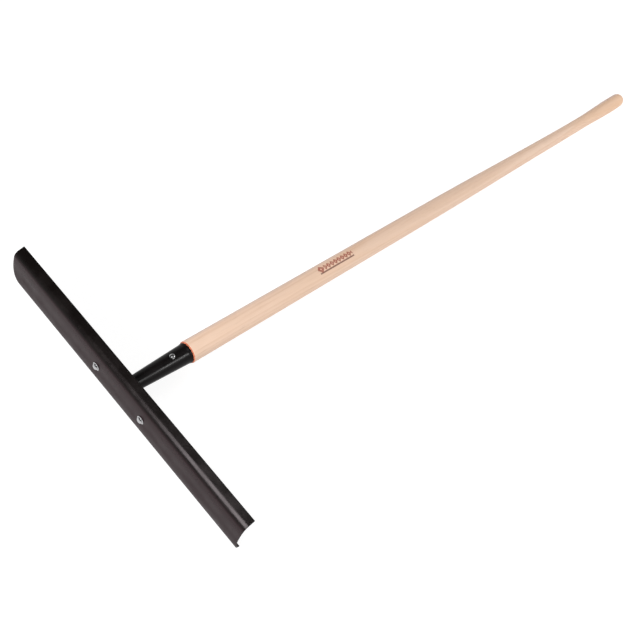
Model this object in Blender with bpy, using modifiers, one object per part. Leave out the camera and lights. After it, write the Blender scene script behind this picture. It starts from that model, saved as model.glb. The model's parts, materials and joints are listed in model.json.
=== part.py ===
"""Long-handled concrete placer: a formed steel blade bolted to a socketed wooden handle.

Everything is modelled in the tool's own frame: the handle's axis is the Y axis, running from the
blade at y = 0 to the grip, X runs along the blade and Z points up, away from the floor. The whole
tool is then tipped about X, so that it lies on the blade's lower edge and the handle's bulb.
"""

import math

import bmesh
import bpy
from mathutils import Matrix, Vector

MM = 0.001
GAP = 0.3 * MM  # clearance kept between pieces that touch

# Blade: the outline of its front surface, as straight runs and arcs from the top edge down.
BLADE_LENGTH = 508 * MM
BLADE_SHEET = 1.9 * MM
BLADE_TOP_Z = 32.3 * MM
FLANGE_RUN = 9.33 * MM
FLANGE_SLOPE = math.radians(23.5)
BEND_RADIUS = 13 * MM
BEND_ANGLE = math.radians(56.78)
FACE_RADIUS = 130 * MM
FACE_ANGLE = math.radians(30.72)
CURL_RADIUS = 21 * MM
CURL_ANGLE = math.radians(35)
BEND_STEP = math.radians(8)
FACE_STEP = math.radians(2)
CURL_STEP = math.radians(4.8)
BLADE_EDGE_ROUND = 0.5 * MM

# Bracket behind the blade.
BRACKET_LENGTH = 150 * MM
BRACKET_HEIGHT = 36 * MM
BRACKET_THICKNESS = 4 * MM
BRACKET_CORNER = 8 * MM
BRACKET_STEPS = 24
BRACKET_CORNER_STEPS = 6

# Bolts through the blade and the bracket, level with the handle's axis.
BOLT_Z = 0.0
BOLT_SPACING = 100 * MM
BOLT_RADIUS = 3.1 * MM
BOLT_HEAD_RADIUS = 6.4 * MM
BOLT_HEAD_HEIGHT = 4.0 * MM
BOLT_HEAD_RIM = 0.5 * MM
BOLT_HEAD_STEPS = 8
BOLT_NECK = 6.2 * MM
BOLT_NECK_DEPTH = 2.0 * MM
BOLT_PITCH = 1.27 * MM
BOLT_THREAD_DEPTH = 0.5 * MM
BOLT_THREADS = 9
THREAD_CREST_START = 0.1  # shares of one pitch
THREAD_CREST_END = 0.3
THREAD_ROOT = 0.7
BOLT_STICK_OUT = 2.6 * MM
WASHER_RADIUS = 8 * MM
WASHER_THICKNESS = 1.4 * MM
WASHER_CHAMFER = 0.2 * MM
SPRING_RADIUS = 5.7 * MM
SPRING_THICKNESS = 1.6 * MM
SPRING_SLIT = 0.9 * MM
SPRING_SLANT = math.radians(25)
SPRING_CHAMFER = 0.25 * MM
NUT_ACROSS_FLATS = 11.1 * MM
NUT_HEIGHT = 5.5 * MM
NUT_CHAMFER = 0.9 * MM

# Socket: a tapered tube, with its mouth rolled out into a lip.
SOCKET_MOUTH_Y = 98.3 * MM
SOCKET_ROOT_Y = -13 * MM
SOCKET_ROOT_REACH = 30 * MM  # half the width of the curved cut at the socket's root
SOCKET_RADIUS_AT_BLADE = 11.15 * MM
SOCKET_TAPER = 0.045
SOCKET_WALL = 1.9 * MM
LIP_LENGTH = 5.5 * MM
LIP_RISE = 0.6 * MM
LIP_STEPS = 5
LIP_ROUND_STEPS = 4
WELD_LEG = 4.5 * MM
WELD_STEPS = 5
WELD_TOE = 1.2 * MM  # depth of the bead below the bracket's rear surface, before it is trimmed
WELD_SWELL = 0.22  # bulge of the bead, as a share of its leg

# Rivet through the socket and the handle.
RIVET_Y = 70 * MM
RIVET_RADIUS = 2.5 * MM
RIVET_HEAD_RADIUS = 4.3 * MM
RIVET_HEAD_HEIGHT = 2.2 * MM
RIVET_HEAD_STEPS = 7
RIVET_TAIL_RADIUS = 3.5 * MM
RIVET_TAIL_HEIGHT = 1.5 * MM
RIVET_TAIL_RIM = 0.2 * MM
BURR_RADIUS = 5.2 * MM
BURR_THICKNESS = 1.2 * MM
BURR_CHAMFER = 0.3 * MM
RIVET_SEAT_DEPTH = 1.5 * MM  # how far the head and burr reach down before the socket's curve trims them
RIVET_SEAT_REACH = 15 * MM

# Handle: stations along its axis, as (y, radius), where it slims to a waist and swells to a bulb.
HANDLE_START_Y = 3 * MM
HANDLE_END_Y = 1490.5 * MM
HANDLE_RADIUS = 17.35 * MM
SHOULDER_ROUND = 1.2 * MM
HANDLE_STATIONS = (
    (600 * MM, 17.35 * MM),
    (740 * MM, 17.1 * MM),
    (850 * MM, 16.4 * MM),
    (950 * MM, 15.4 * MM),
    (1050 * MM, 14.6 * MM),
    (1160 * MM, 14.1 * MM),
    (1250 * MM, 13.85 * MM),
    (1305 * MM, 14.0 * MM),
    (1360 * MM, 15.4 * MM),
    (1400 * MM, 16.3 * MM),
    (1436 * MM, 16.8 * MM),
    (1474 * MM, 16.4 * MM),
)
HANDLE_BOW = 4.6 * MM  # how far the grip's tip stands off the handle's straight axis, towards -X
BOW_START_Y = 1120 * MM
STATION_STEPS = 3
DOME_STEPS = 8

ROUND_SIDES = 40
SMALL_SIDES = 24
CYLINDER_SIDES = 360  # of the large cylinder that follows the bracket's curve
CUT_MARGIN = 4 * MM
SMOOTH_BELOW = math.radians(35)

BLACK_COAT = ("black_coat", (0.020, 0.019, 0.019), 0.38, 0.0)
WOOD = ("ash_wood", (0.72, 0.50, 0.34), 0.55, 0.0)
ZINC = ("zinc_plate", (0.62, 0.63, 0.64), 0.25, 1.0)
RIVET_STEEL = ("rivet_steel", (0.55, 0.54, 0.53), 0.32, 1.0)


# Scene and object helpers


def clear_scene():
    for obj in list(bpy.data.objects):
        bpy.data.objects.remove(obj, do_unlink=True)


def new_collection(name, hidden=False):
    collection = bpy.data.collections.new(name)
    collection.hide_render = hidden
    bpy.context.scene.collection.children.link(collection)
    return collection


def new_material(name, color, roughness, metallic):
    material = bpy.data.materials.get(name)
    if material is None:
        material = bpy.data.materials.new(name)
        material.use_nodes = True
        shader = material.node_tree.nodes["Principled BSDF"]
        shader.inputs["Base Color"].default_value = (*color, 1.0)
        shader.inputs["Roughness"].default_value = roughness
        shader.inputs["Metallic"].default_value = metallic
        material.diffuse_color = (*color, 1.0)
    return material


def add_part(name, bm, finish):
    """Makes a named part from a bmesh, shaded smooth except at its sharp edges."""
    mesh = bpy.data.meshes.new(name)
    bm.to_mesh(mesh)
    bm.free()
    mesh.shade_smooth()
    mesh.set_sharp_from_angle(angle=SMOOTH_BELOW)
    mesh.materials.append(new_material(*finish))
    part = bpy.data.objects.new(name, mesh)
    PARTS.objects.link(part)
    part.parent = TOOL_FRAME
    return part


def add_cutter(name, bm):
    mesh = bpy.data.meshes.new(name)
    bm.to_mesh(mesh)
    bm.free()
    cutter = bpy.data.objects.new(name, mesh)
    cutter.hide_render = True
    cutter.display_type = "WIRE"
    CUTTERS.objects.link(cutter)
    cutter.parent = TOOL_FRAME
    return cutter


def add_boolean(part, operation, other):
    modifier = part.modifiers.new(operation.lower() + "_" + other.name, "BOOLEAN")
    modifier.operation = operation
    modifier.solver = "EXACT"
    modifier.object = other


def add_bevel(part, width, segments=2):
    modifier = part.modifiers.new("rounded_edges", "BEVEL")
    modifier.width = width
    modifier.segments = segments
    modifier.limit_method = "ANGLE"
    modifier.angle_limit = SMOOTH_BELOW


# Shape helpers


def along(axis):
    """The turn that takes the Z axis to the named axis."""
    turns = {"X": ("Y", 90), "Y": ("X", -90), "Z": ("Z", 0)}
    about, degrees = turns[axis]
    return Matrix.Rotation(math.radians(degrees), 4, about)


def cylinder_mesh(radius, low, high, axis, centre=(0, 0, 0), sides=SMALL_SIDES):
    """A cylinder from low to high along an axis through a point."""
    bm = bmesh.new()
    middle = Matrix.Translation((0, 0, (low + high) / 2))
    bmesh.ops.create_cone(
        bm,
        cap_ends=True,
        segments=sides,
        radius1=radius,
        radius2=radius,
        depth=high - low,
        matrix=Matrix.Translation(centre) @ along(axis) @ middle,
    )
    return bm


def box_mesh(size, centre):
    bm = bmesh.new()
    scale = Matrix.Diagonal((*size, 1))
    bmesh.ops.create_cube(bm, size=1, matrix=Matrix.Translation(centre) @ scale)
    return bm


def profile_mesh(points, closed=False):
    """An outline of (radius, height) points at +X, for a Screw modifier about Z."""
    bm = bmesh.new()
    verts = [bm.verts.new((radius, 0, height)) for radius, height in points]
    for first, second in zip(verts, verts[1:]):
        bm.edges.new((first, second))
    if closed:
        bm.edges.new((verts[-1], verts[0]))
    return bm


def turn(shape, axis, centre, sides):
    """Turns a profile into a solid, and lays its axis along the named one through a point."""
    screw = shape.modifiers.new("turned", "SCREW")
    screw.steps = sides
    screw.render_steps = sides
    screw.use_merge_vertices = True
    screw.merge_threshold = 0.01 * MM
    screw.use_smooth_shade = True
    shape.matrix_local = Matrix.Translation(centre) @ along(axis)
    return shape


def add_turned(name, points, finish, axis="Z", centre=(0, 0, 0), sides=SMALL_SIDES, closed=False):
    """A turned part whose outline runs down its outer side."""
    return turn(add_part(name, profile_mesh(points, closed), finish), axis, centre, sides)


def arc(centre, radius, start, end, steps):
    """Points on an arc, angles in radians from the +radius direction towards +height."""
    points = []
    for i in range(steps + 1):
        angle = start + (end - start) * i / steps
        points.append((centre[0] + radius * math.cos(angle), centre[1] + radius * math.sin(angle)))
    return points


def curve_through(stations, steps):
    """A smooth curve through (position, radius) stations, by cubic Hermite spans."""

    def slope(i):
        low, high = max(i - 1, 0), min(i + 1, len(stations) - 1)
        return (stations[high][1] - stations[low][1]) / (stations[high][0] - stations[low][0])

    points = [stations[0]]
    for i in range(len(stations) - 1):
        (y0, r0), (y1, r1) = stations[i], stations[i + 1]
        span = y1 - y0
        for k in range(1, steps + 1):
            t = k / steps
            start_share = (1 + 2 * t) * (1 - t) ** 2
            start_slope = t * (1 - t) ** 2 * span * slope(i)
            end_share = t * t * (3 - 2 * t)
            end_slope = t * t * (t - 1) * span * slope(i + 1)
            radius = start_share * r0 + start_slope + end_share * r1 + end_slope
            points.append((y0 + span * t, radius))
    return points


# Blade section


def section_point(place, heading, radius, angle):
    """The point reached by turning through an angle on an arc of the section."""
    y, z = place
    turned = heading + angle
    return (
        y - radius * (math.sin(turned) - math.sin(heading)),
        z - radius * (math.cos(heading) - math.cos(turned)),
    )


def blade_section():
    """The front surface's outline in the YZ plane, from the top edge to the lower edge.

    The heading is the angle from -Y towards -Z, so 90 degrees is straight down.
    """
    heading = FLANGE_SLOPE
    place = (0.0, BLADE_TOP_Z)
    points = [place]
    place = (place[0] - FLANGE_RUN * math.cos(heading), place[1] - FLANGE_RUN * math.sin(heading))
    points.append(place)
    arcs = (
        (BEND_RADIUS, BEND_ANGLE, BEND_STEP),
        (FACE_RADIUS, FACE_ANGLE, FACE_STEP),
        (CURL_RADIUS, CURL_ANGLE, CURL_STEP),
    )
    for radius, angle, step in arcs:
        steps = round(angle / step)
        for i in range(1, steps + 1):
            points.append(section_point(place, heading, radius, angle * i / steps))
        place = points[-1]
        heading += angle
    return points


def face_centre():
    """The centre (y, z) of the arc that the blade's face follows."""
    bend_start = blade_section()[1]
    heading = FLANGE_SLOPE + BEND_ANGLE
    face_start = section_point(bend_start, FLANGE_SLOPE, BEND_RADIUS, BEND_ANGLE)
    return (
        face_start[0] + FACE_RADIUS * math.sin(heading),
        face_start[1] - FACE_RADIUS * math.cos(heading),
    )


FACE_CENTRE_Y, FACE_CENTRE_Z = face_centre()
FACE_FRONT_Y = FACE_CENTRE_Y - FACE_RADIUS
BRACKET_FRONT_RADIUS = FACE_RADIUS - BLADE_SHEET - GAP
BRACKET_REAR_RADIUS = BRACKET_FRONT_RADIUS - BRACKET_THICKNESS
BRACKET_REAR_Y = FACE_CENTRE_Y - BRACKET_REAR_RADIUS
BOLT_PLACES = (("left", -BOLT_SPACING / 2), ("right", BOLT_SPACING / 2))


def socket_radius(y):
    return SOCKET_RADIUS_AT_BLADE + SOCKET_TAPER * y


# Parts


def strip_mesh(section, half_length):
    """An open sheet that follows a YZ section and runs along X."""
    bm = bmesh.new()
    verts = [bm.verts.new((-half_length, y, z)) for y, z in section]
    edges = [bm.edges.new(pair) for pair in zip(verts, verts[1:])]
    swept = bmesh.ops.extrude_edge_only(bm, edges=edges)["geom"]
    moved = [item for item in swept if isinstance(item, bmesh.types.BMVert)]
    bmesh.ops.translate(bm, verts=moved, vec=(2 * half_length, 0, 0))
    bmesh.ops.recalc_face_normals(bm, faces=bm.faces)
    return bm


def add_sheet(name, section, half_length, thickness, finish):
    """A sheet-metal part: its section is the front surface, and the sheet lies behind it."""
    bm = strip_mesh(section, half_length)
    bm.faces.ensure_lookup_table()
    middle = bm.faces[len(bm.faces) // 2]
    if middle.normal.y > 0:
        bmesh.ops.reverse_faces(bm, faces=bm.faces)
    part = add_part(name, bm, finish)
    solidify = part.modifiers.new("sheet", "SOLIDIFY")
    solidify.thickness = thickness
    solidify.offset = -1
    solidify.use_even_offset = True
    return part


def make_blade():
    blade = add_sheet("blade", blade_section(), BLADE_LENGTH / 2, BLADE_SHEET, BLACK_COAT)
    add_bevel(blade, BLADE_EDGE_ROUND)
    hole = BOLT_NECK + 2 * GAP
    for side, x in BOLT_PLACES:
        size = (hole, 2 * CUT_MARGIN + BLADE_SHEET, hole)
        cutter = add_cutter(f"blade_hole_{side}", box_mesh(size, (x, FACE_FRONT_Y, BOLT_Z)))
        add_boolean(blade, "DIFFERENCE", cutter)


def rounded_plate_mesh(length, height, corner, low_y, high_y, centre_z):
    """A plate in the XZ plane with rounded corners, reaching from low_y to high_y."""
    bm = box_mesh((length, high_y - low_y, height), (0, (low_y + high_y) / 2, centre_z))
    corners = [e for e in bm.edges if abs((e.verts[0].co - e.verts[1].co).y) > (high_y - low_y) / 2]
    steps = BRACKET_CORNER_STEPS
    bmesh.ops.bevel(bm, geom=corners, offset=corner, segments=steps, profile=0.5, affect="EDGES")
    return bm


def make_bracket():
    reach = BRACKET_HEIGHT / 2 + abs(FACE_CENTRE_Z - BOLT_Z) + CUT_MARGIN
    half_angle = math.asin(reach / BRACKET_FRONT_RADIUS)
    section = []
    for i in range(BRACKET_STEPS + 1):
        angle = half_angle * (1 - 2 * i / BRACKET_STEPS)
        y = FACE_CENTRE_Y - BRACKET_FRONT_RADIUS * math.cos(angle)
        section.append((y, FACE_CENTRE_Z + BRACKET_FRONT_RADIUS * math.sin(angle)))
    half_length = BRACKET_LENGTH / 2 + CUT_MARGIN
    bracket = add_sheet("bracket", section, half_length, BRACKET_THICKNESS, BLACK_COAT)
    outline = rounded_plate_mesh(
        BRACKET_LENGTH,
        BRACKET_HEIGHT,
        BRACKET_CORNER,
        FACE_FRONT_Y - CUT_MARGIN,
        BRACKET_REAR_Y + 2 * CUT_MARGIN,
        BOLT_Z,
    )
    add_boolean(bracket, "INTERSECT", add_cutter("bracket_outline", outline))
    for side, x in BOLT_PLACES:
        place = (x, 0, BOLT_Z)
        hole = cylinder_mesh(BOLT_RADIUS + GAP, FACE_FRONT_Y, CUT_MARGIN, "Y", place)
        add_boolean(bracket, "DIFFERENCE", add_cutter(f"bracket_hole_{side}", hole))


def bracket_clearance_cutter():
    """The round space behind the bracket, one gap off its curved rear surface."""
    centre = (0, FACE_CENTRE_Y, FACE_CENTRE_Z)
    reach = SOCKET_ROOT_REACH
    bm = cylinder_mesh(BRACKET_REAR_RADIUS - GAP, -reach, reach, "X", centre, CYLINDER_SIDES)
    return add_cutter("bracket_clearance", bm)


def socket_outline():
    """(radius, y) around the socket's wall: down the outside from the mouth, then up the bore."""
    mouth_radius = socket_radius(SOCKET_MOUTH_Y)
    lip_start = SOCKET_MOUTH_Y - LIP_LENGTH
    outside = arc(
        (mouth_radius + LIP_RISE - SOCKET_WALL / 2, SOCKET_MOUTH_Y - SOCKET_WALL / 2),
        SOCKET_WALL / 2,
        math.radians(90),
        math.radians(0),
        LIP_ROUND_STEPS,
    )
    for i in range(1, LIP_STEPS + 1):
        t = i / LIP_STEPS
        y = SOCKET_MOUTH_Y - SOCKET_WALL + (lip_start - SOCKET_MOUTH_Y + SOCKET_WALL) * t
        outside.append((socket_radius(y) + LIP_RISE * 0.5 * (1 + math.cos(math.pi * t)), y))
    outside.append((socket_radius(SOCKET_ROOT_Y), SOCKET_ROOT_Y))
    inside = [
        (socket_radius(SOCKET_ROOT_Y) - SOCKET_WALL, SOCKET_ROOT_Y),
        (socket_radius(SOCKET_MOUTH_Y) - SOCKET_WALL, SOCKET_MOUTH_Y),
    ]
    return outside + inside


def make_socket(bracket_clearance):
    socket = add_turned("socket", socket_outline(), BLACK_COAT, "Y", sides=ROUND_SIDES, closed=True)
    add_boolean(socket, "INTERSECT", bracket_clearance)
    reach = socket_radius(RIVET_Y) + CUT_MARGIN
    hole = cylinder_mesh(RIVET_RADIUS + GAP, -reach, reach, "Z", (0, RIVET_Y, 0), SMALL_SIDES)
    cutter = add_cutter("rivet_hole", hole)
    add_boolean(socket, "DIFFERENCE", cutter)
    return cutter


def make_weld(bracket_clearance):
    """A fillet bead around the socket's root, against the bracket."""
    low = SOCKET_ROOT_Y
    toe = BRACKET_REAR_Y + WELD_TOE
    top = toe + WELD_LEG
    inner_low = socket_radius(low) + GAP
    inner_top = socket_radius(top) + GAP
    outline = [(inner_top, top)]
    for i in range(1, WELD_STEPS + 1):
        t = i / WELD_STEPS
        swell = WELD_SWELL * WELD_LEG * math.sin(math.pi * t)
        outline.append((inner_top + WELD_LEG * t + swell, top - WELD_LEG * t + swell))
    outline.append((inner_top + WELD_LEG, low))
    outline.append((inner_low, low))
    weld = add_turned("socket_weld", outline, BLACK_COAT, "Y", sides=ROUND_SIDES, closed=True)
    add_boolean(weld, "INTERSECT", bracket_clearance)


def handle_outline():
    """(radius, y) down the handle's outer side, from the domed end to the end in the socket."""
    last_y, last_radius = HANDLE_STATIONS[-1]
    dome = HANDLE_END_Y - last_y
    outline = []
    for i in range(DOME_STEPS):
        angle = math.radians(90) * (1 - i / DOME_STEPS)
        outline.append((last_radius * math.cos(angle), last_y + dome * math.sin(angle)))
    outline[0] = (0.0, HANDLE_END_Y)
    for y, radius in reversed(curve_through(HANDLE_STATIONS, STATION_STEPS)):
        outline.append((radius, y))
    shoulder = SOCKET_MOUTH_Y + GAP
    outline += arc(
        (HANDLE_RADIUS - SHOULDER_ROUND, shoulder + SHOULDER_ROUND), SHOULDER_ROUND, 0, math.radians(-90), 4
    )
    for y in (shoulder, HANDLE_START_Y):
        outline.append((socket_radius(y) - SOCKET_WALL - GAP, y))
    outline.append((0.0, HANDLE_START_Y))
    return outline


def make_handle(rivet_hole):
    """The handle is turned straight, then its grip end is bowed a little, as wood moves."""
    handle = add_turned("handle", handle_outline(), WOOD, "Y", sides=ROUND_SIDES)
    graph = bpy.context.evaluated_depsgraph_get()
    handle.data = bpy.data.meshes.new_from_object(handle.evaluated_get(graph))
    handle.modifiers.clear()
    for vertex in handle.data.vertices:
        share = max(0.0, (vertex.co.z - BOW_START_Y) / (HANDLE_END_Y - BOW_START_Y))
        vertex.co.x -= HANDLE_BOW * share * share
    add_boolean(handle, "DIFFERENCE", rivet_hole)


def bolt_outline():
    """(radius, height) of a round-head bolt, height 0 under its head and growing towards the nut."""
    length = bolt_length()
    outline = [(0.0, length), (BOLT_RADIUS - BOLT_THREAD_DEPTH, length)]
    thread_top = length - BOLT_THREAD_DEPTH
    for i in range(BOLT_THREADS):
        crest = thread_top - BOLT_PITCH * i
        outline.append((BOLT_RADIUS, crest - THREAD_CREST_START * BOLT_PITCH))
        outline.append((BOLT_RADIUS, crest - THREAD_CREST_END * BOLT_PITCH))
        outline.append((BOLT_RADIUS - BOLT_THREAD_DEPTH, crest - THREAD_ROOT * BOLT_PITCH))
    outline.append((BOLT_RADIUS, thread_top - BOLT_PITCH * BOLT_THREADS))
    outline.append((BOLT_RADIUS, 0.0))
    outline.append((BOLT_HEAD_RADIUS - BOLT_HEAD_RIM / 2, 0.0))
    dome = BOLT_HEAD_HEIGHT - BOLT_HEAD_RIM
    for i in range(BOLT_HEAD_STEPS):
        angle = math.radians(90) * i / BOLT_HEAD_STEPS
        outline.append((BOLT_HEAD_RADIUS * math.cos(angle), -BOLT_HEAD_RIM - dome * math.sin(angle)))
    outline.append((0.0, -BOLT_HEAD_HEIGHT))
    return outline


def head_seat_y():
    return FACE_FRONT_Y - GAP


def washer_seat_y():
    """A flat washer touches the bracket's hollow rear surface at its upper edge."""
    edge = abs(BOLT_Z - FACE_CENTRE_Z) + WASHER_RADIUS
    return FACE_CENTRE_Y - math.sqrt(BRACKET_REAR_RADIUS**2 - edge**2) + GAP


def nut_seat_y():
    return washer_seat_y() + WASHER_THICKNESS + GAP + SPRING_THICKNESS + GAP


def bolt_length():
    return nut_seat_y() + NUT_HEIGHT + BOLT_STICK_OUT - head_seat_y()


def ring_outline(outer, inner, height, chamfer):
    """(radius, height) around a flat ring whose outer edges are chamfered."""
    return [
        (inner, height),
        (outer - chamfer, height),
        (outer, height - chamfer),
        (outer, chamfer),
        (outer - chamfer, 0.0),
        (inner, 0.0),
    ]


def make_bolt_stack(side, x):
    """A carriage bolt with its flat washer, spring washer and nut."""
    seat = (x, head_seat_y(), BOLT_Z)
    bolt = add_turned(f"bolt_{side}", bolt_outline(), ZINC, "Y", seat)
    neck_size = (BOLT_NECK, BOLT_NECK_DEPTH + GAP, BOLT_NECK)
    neck_centre = (x, head_seat_y() + BOLT_NECK_DEPTH / 2 - GAP / 2, BOLT_Z)
    add_boolean(bolt, "UNION", add_cutter(f"bolt_neck_{side}", box_mesh(neck_size, neck_centre)))

    bore = BOLT_RADIUS + GAP
    washer = ring_outline(WASHER_RADIUS, bore, WASHER_THICKNESS, WASHER_CHAMFER)
    place = (x, washer_seat_y(), BOLT_Z)
    add_turned(f"washer_{side}", washer, ZINC, "Y", place, closed=True)

    place = (x, washer_seat_y() + WASHER_THICKNESS + GAP, BOLT_Z)
    spring = ring_outline(SPRING_RADIUS, bore, SPRING_THICKNESS, SPRING_CHAMFER)
    spring_washer = add_turned(f"spring_washer_{side}", spring, ZINC, "Y", place, closed=True)
    slit = bmesh.new()
    slant = Matrix.Rotation(SPRING_SLANT, 4, "Z")
    size = Matrix.Diagonal((SPRING_SLIT, 4 * SPRING_THICKNESS, SPRING_RADIUS, 1))
    centre = Matrix.Translation((x, place[1] + SPRING_THICKNESS / 2, BOLT_Z + bore + SPRING_RADIUS / 3))
    bmesh.ops.create_cube(slit, size=1, matrix=centre @ slant @ size)
    add_boolean(spring_washer, "DIFFERENCE", add_cutter(f"spring_slit_{side}", slit))

    make_nut(side, x, bore)


def make_nut(side, x, bore):
    """A hexagon nut, its corners taken off by a double cone."""
    low = nut_seat_y()
    high = low + NUT_HEIGHT
    place = (x, 0, BOLT_Z)
    corner_radius = NUT_ACROSS_FLATS / math.sqrt(3)
    nut = add_part(f"nut_{side}", cylinder_mesh(corner_radius, low, high, "Y", place, 6), ZINC)
    reach = NUT_CHAMFER
    cone = [
        (0.0, high + GAP),
        (NUT_ACROSS_FLATS / 2, high + GAP),
        (corner_radius + reach, high - NUT_CHAMFER),
        (corner_radius + reach, low + NUT_CHAMFER),
        (NUT_ACROSS_FLATS / 2, low - GAP),
        (0.0, low - GAP),
    ]
    cutter = turn(add_cutter(f"nut_chamfer_{side}", profile_mesh(cone)), "Y", place, SMALL_SIDES)
    add_boolean(nut, "INTERSECT", cutter)
    hole = cylinder_mesh(bore, low - CUT_MARGIN, high + CUT_MARGIN, "Y", place)
    add_boolean(nut, "DIFFERENCE", add_cutter(f"nut_bore_{side}", hole))


def dome_outline(radius, height, base):
    """(radius, height) up from a centre point on the base plane to the top of a low dome."""
    outline = []
    for i in range(RIVET_HEAD_STEPS):
        angle = math.radians(90) * (1 - i / RIVET_HEAD_STEPS)
        outline.append((radius * math.cos(angle), base + height * math.sin(angle)))
    outline[0] = (0.0, base + height)
    outline.append((radius, base))
    return outline


def make_rivet():
    """A round-head rivet from the top of the socket to a burr under it, and the burr itself."""
    surface = socket_radius(RIVET_Y)
    sunk = surface - RIVET_SEAT_DEPTH
    head = dome_outline(RIVET_HEAD_RADIUS, RIVET_HEAD_HEIGHT, surface + GAP)
    head += [(RIVET_HEAD_RADIUS, sunk), (0.0, sunk)]
    rivet = add_turned("rivet", head, RIVET_STEEL, "Z", (0, RIVET_Y, 0), SMALL_SIDES)
    skin = bmesh.new()
    bmesh.ops.create_cone(
        skin,
        cap_ends=True,
        segments=4 * ROUND_SIDES,
        radius1=socket_radius(RIVET_Y - RIVET_SEAT_REACH) + GAP,
        radius2=socket_radius(RIVET_Y + RIVET_SEAT_REACH) + GAP,
        depth=2 * RIVET_SEAT_REACH,
        matrix=Matrix.Translation((0, RIVET_Y, 0)) @ along("Y"),
    )
    clearance = add_cutter("socket_clearance", skin)
    add_boolean(rivet, "DIFFERENCE", clearance)

    burr_low = -surface - GAP - BURR_THICKNESS
    tail_top = burr_low - GAP
    shank = [
        (0.0, surface + RIVET_HEAD_HEIGHT / 2),
        (RIVET_RADIUS, surface + RIVET_HEAD_HEIGHT / 2),
        (RIVET_RADIUS, tail_top),
        (RIVET_TAIL_RADIUS, tail_top),
    ]
    for radius, height in reversed(dome_outline(RIVET_TAIL_RADIUS, RIVET_TAIL_HEIGHT, 0.0)[:-1]):
        shank.append((radius, tail_top - RIVET_TAIL_RIM - height))
    shank_solid = turn(add_cutter("rivet_shank", profile_mesh(shank)), "Z", (0, RIVET_Y, 0), SMALL_SIDES)
    add_boolean(rivet, "UNION", shank_solid)

    ring = [
        (RIVET_RADIUS + GAP, -surface + RIVET_SEAT_DEPTH),
        (BURR_RADIUS, -surface + RIVET_SEAT_DEPTH),
        (BURR_RADIUS, burr_low + BURR_CHAMFER),
        (BURR_RADIUS - BURR_CHAMFER, burr_low),
        (RIVET_RADIUS + GAP, burr_low),
    ]
    burr = add_turned("rivet_burr", ring, RIVET_STEEL, "Z", (0, RIVET_Y, 0), SMALL_SIDES, closed=True)
    add_boolean(burr, "DIFFERENCE", clearance)


# Rest position


def lowest(points, tilt):
    """The (y, z) point that is lowest once the tool is tipped down at the grip by the tilt."""
    return min(points, key=lambda point: point[1] * math.cos(tilt) - point[0] * math.sin(tilt))


def rest_tilt():
    """The angle that brings the blade's lower edge and the handle's bulb to one level."""
    edge_points = blade_section()[-3:]
    under_handle = [(y, -radius) for radius, y in handle_outline() if y > SOCKET_MOUTH_Y]
    tilt = 0.0
    for _ in range(8):
        edge = lowest(edge_points, tilt)
        bulb = lowest(under_handle, tilt)
        tilt = math.atan2(bulb[1] - edge[1], bulb[0] - edge[0])
    return tilt


def settle():
    """Tips the tool to rest on the floor, with the origin under the middle of its box."""
    TOOL_FRAME.matrix_world = Matrix.Rotation(-rest_tilt(), 4, "X")
    bpy.context.view_layer.update()
    graph = bpy.context.evaluated_depsgraph_get()
    corners = []
    for part in PARTS.objects:
        shape = part.evaluated_get(graph)
        corners += [shape.matrix_world @ vertex.co for vertex in shape.data.vertices]
    low = Vector(min(corner[i] for corner in corners) for i in range(3))
    high = Vector(max(corner[i] for corner in corners) for i in range(3))
    offset = Vector((-(low.x + high.x) / 2, -(low.y + high.y) / 2, -low.z))
    TOOL_FRAME.matrix_world = Matrix.Translation(offset) @ TOOL_FRAME.matrix_world


def main():
    make_blade()
    make_bracket()
    bracket_clearance = bracket_clearance_cutter()
    rivet_hole = make_socket(bracket_clearance)
    make_weld(bracket_clearance)
    make_handle(rivet_hole)
    for side, x in BOLT_PLACES:
        make_bolt_stack(side, x)
    make_rivet()
    settle()


clear_scene()
PARTS = new_collection("concrete_placer")
CUTTERS = new_collection("cutters", hidden=True)
TOOL_FRAME = bpy.data.objects.new("tool_frame", None)
bpy.context.scene.collection.objects.link(TOOL_FRAME)
main()
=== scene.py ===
"""Looks for a long-handled concrete placer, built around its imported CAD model.

Every piece is modelled in the tool's own frame, in metres: the handle's axis is the Y axis, running
from the blade at y = 0 to the grip, X runs along the blade and Z points away from the floor. TOOL
carries that frame into the row's frame, where the tool lies on the floor.
"""

import json
import math

import bmesh
import bpy
import numpy as np
from mathutils import Matrix, Vector


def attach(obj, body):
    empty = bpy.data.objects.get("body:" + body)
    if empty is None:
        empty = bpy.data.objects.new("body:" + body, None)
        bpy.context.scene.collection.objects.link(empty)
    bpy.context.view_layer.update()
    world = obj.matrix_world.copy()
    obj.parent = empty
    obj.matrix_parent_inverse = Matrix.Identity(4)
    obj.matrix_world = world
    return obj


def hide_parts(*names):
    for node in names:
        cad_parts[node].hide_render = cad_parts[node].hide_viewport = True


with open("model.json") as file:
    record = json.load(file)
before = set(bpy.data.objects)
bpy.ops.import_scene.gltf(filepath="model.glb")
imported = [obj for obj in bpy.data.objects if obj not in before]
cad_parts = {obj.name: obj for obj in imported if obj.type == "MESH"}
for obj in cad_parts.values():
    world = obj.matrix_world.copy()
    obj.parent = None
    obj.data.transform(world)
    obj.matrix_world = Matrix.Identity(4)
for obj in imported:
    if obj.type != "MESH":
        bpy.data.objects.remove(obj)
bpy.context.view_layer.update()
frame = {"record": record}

MM = 0.001
GAP = 0.3 * MM

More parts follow.
